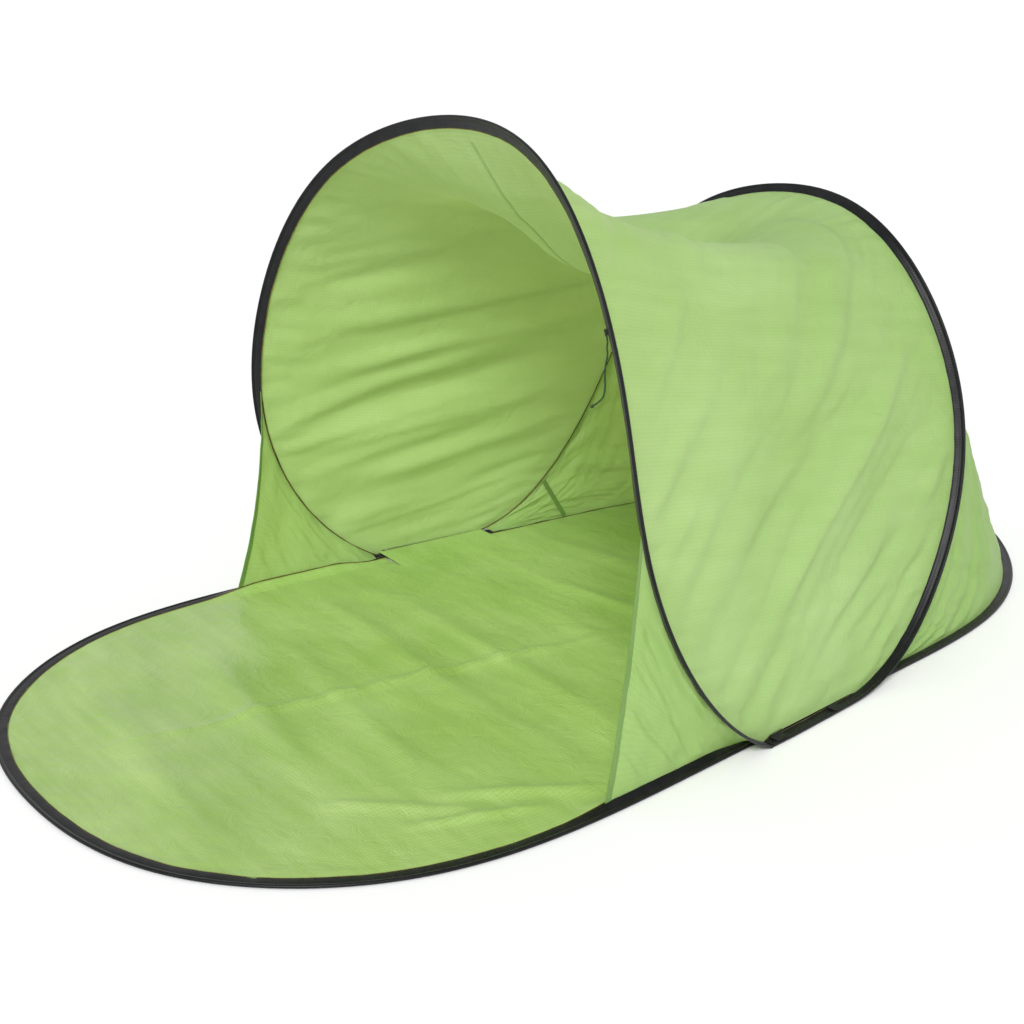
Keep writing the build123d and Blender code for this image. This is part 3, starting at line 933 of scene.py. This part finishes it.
def middle_grid():
    """The panel between the hinge lines, which laps over the side tapes."""
    y = np.linspace(FRONT_HINGE_Y, REAR_HINGE_Y, 41)
    half = np.interp(y, SIDE_TAPE_ENDS, SIDE_TAPE_HALF_WIDTHS) + SIDE_LAP
    x = half[:, None] * FLOOR_COLUMNS[None, :]
    yy = np.broadcast_to(y[:, None], x.shape)
    room = half[:, None] - np.abs(x)
    rim = np.sqrt(smooth(1 - room / FLOOR_EDGE))
    z = floor_height(x, yy, room) * (1 - rim) + LAP_LEVEL * rim - LAP_DROP
    return np.stack([x, yy, z], axis=-1)


half_shares = np.linspace(-REST_GAP / front_mat.length, 0.5, 400)
mat_grid = ground_grid(mat_seam(half_shares, SEWN_IN), FRONT_HINGE_Y, True)
floor_piece("front_mat_cloth", mat_grid, "front_mat", "groundsheet_front")
half_shares = np.linspace(-REST_GAP / rear_floor.length, 0.5, 400)
rear_grid = ground_grid(seam(rear_floor, half_shares, SEWN_IN), REAR_HINGE_Y, False)
floor_piece("rear_floor_cloth", rear_grid, "rear_floor", "groundsheet_rear")
floor_piece(
    "middle_floor_cloth", middle_grid(), "rear_frame", "groundsheet_middle"
)


# ---------------------------------------------------------------- cord, loop, knot, strap and tabs
def tie_cord():
    curve = bpy.data.curves.new("tie_cord_line", "CURVE")
    curve.dimensions = "3D"
    spline = curve.splines.new("NURBS")
    spline.points.add(len(CORD_ROUTE) - 1)
    for point, place in zip(spline.points, CORD_ROUTE):
        point.co = (*place, 1)
    spline.order_u = 3
    spline.use_endpoint_u = True
    spline.resolution_u = 12
    curve.bevel_depth = CORD_DIAMETER / 2
    curve.bevel_resolution = 6
    curve.materials.append(CORD)
    piece = bpy.data.objects.new("hanging_cord", curve)
    bpy.context.collection.objects.link(piece)
    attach(piece, "front_arch")
    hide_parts("tie_cord")


tie_cord()

for node, material in {
    "cord_knot": CORD,
    "cord_loop": WEB,
    "rear_strap": HEM,
    "front_tack_right": WEB,
    "front_tack_left": WEB,
    "rear_tack_right": WEB,
    "rear_tack_left": WEB,
    "floor_ferrule": ALUMINIUM,
    "canopy_ferrule": ALUMINIUM,
    "front_floor_wire": STEEL,
    "rear_floor_wire_right": STEEL,
    "rear_floor_wire_left": STEEL,
    "side_floor_wire_right": STEEL,
    "side_floor_wire_left": STEEL,
    "front_arch_wire": STEEL,
    "rear_arch_wire_right": STEEL,
    "rear_arch_wire_left": STEEL,
}.items():
    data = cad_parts[node].data
    data.materials.clear()
    data.materials.append(material)


# ---------------------------------------------------------------- floor and light
SUN_PLACE = (2.0, -2.2, 2.5)
SUN_WIDTH = 22
SUN_POWER = 2.6
STAGE_REACH = 60
STAGE_LEVEL = -0.001


def make_stage():
    material, tree = nodes_of("studio floor")
    shader = add(tree, "ShaderNodeBsdfPrincipled")
    shader.inputs["Base Color"].default_value = (0.95, 0.95, 0.95, 1)
    shader.inputs["Roughness"].default_value = 0.9
    output = add(tree, "ShaderNodeOutputMaterial")
    link(tree, shader.outputs["BSDF"], output.inputs["Surface"])
    mesh = bpy.data.meshes.new("studio_floor")
    corners = [(-1, -1), (1, -1), (1, 1), (-1, 1)]
    corners = [(x * STAGE_REACH, y * STAGE_REACH, STAGE_LEVEL) for x, y in corners]
    mesh.from_pydata(corners, [], [(0, 1, 2, 3)])
    mesh.materials.append(material)
    floor = bpy.data.objects.new("studio_floor", mesh)
    bpy.context.collection.objects.link(floor)


def make_world():
    """Soft white light from above, brighter at the horizon so that the backdrop meets the floor."""
    world = bpy.data.worlds.new("studio")
    world.use_nodes = True
    tree = world.node_tree
    place = add(tree, "ShaderNodeTexCoord")
    parts = add(tree, "ShaderNodeSeparateXYZ")
    link(tree, place.outputs["Generated"], parts.inputs["Vector"])
    rise = add(tree, "ShaderNodeMapRange")
    rise.inputs["From Min"].default_value = 0.04
    rise.inputs["From Max"].default_value = 0.60
    link(tree, parts.outputs["Z"], rise.inputs["Value"])
    colour = two_colours(tree, rise.outputs["Result"], (1, 1, 1), (0.48, 0.48, 0.49))
    background = tree.nodes["Background"]
    link(tree, colour, background.inputs["Color"])
    background.inputs["Strength"].default_value = 1.05
    bpy.context.scene.world = world


def make_sun():
    """One broad, soft light from the front right."""
    data = bpy.data.lights.new("key", "SUN")
    data.angle = math.radians(SUN_WIDTH)
    data.energy = SUN_POWER
    light = bpy.data.objects.new("key", data)
    bpy.context.collection.objects.link(light)
    light.rotation_mode = "QUATERNION"
    light.rotation_quaternion = (-Vector(SUN_PLACE)).to_track_quat("-Z", "Y")


make_stage()
make_world()
make_sun()
bpy.context.scene.view_settings.view_transform = "Standard"
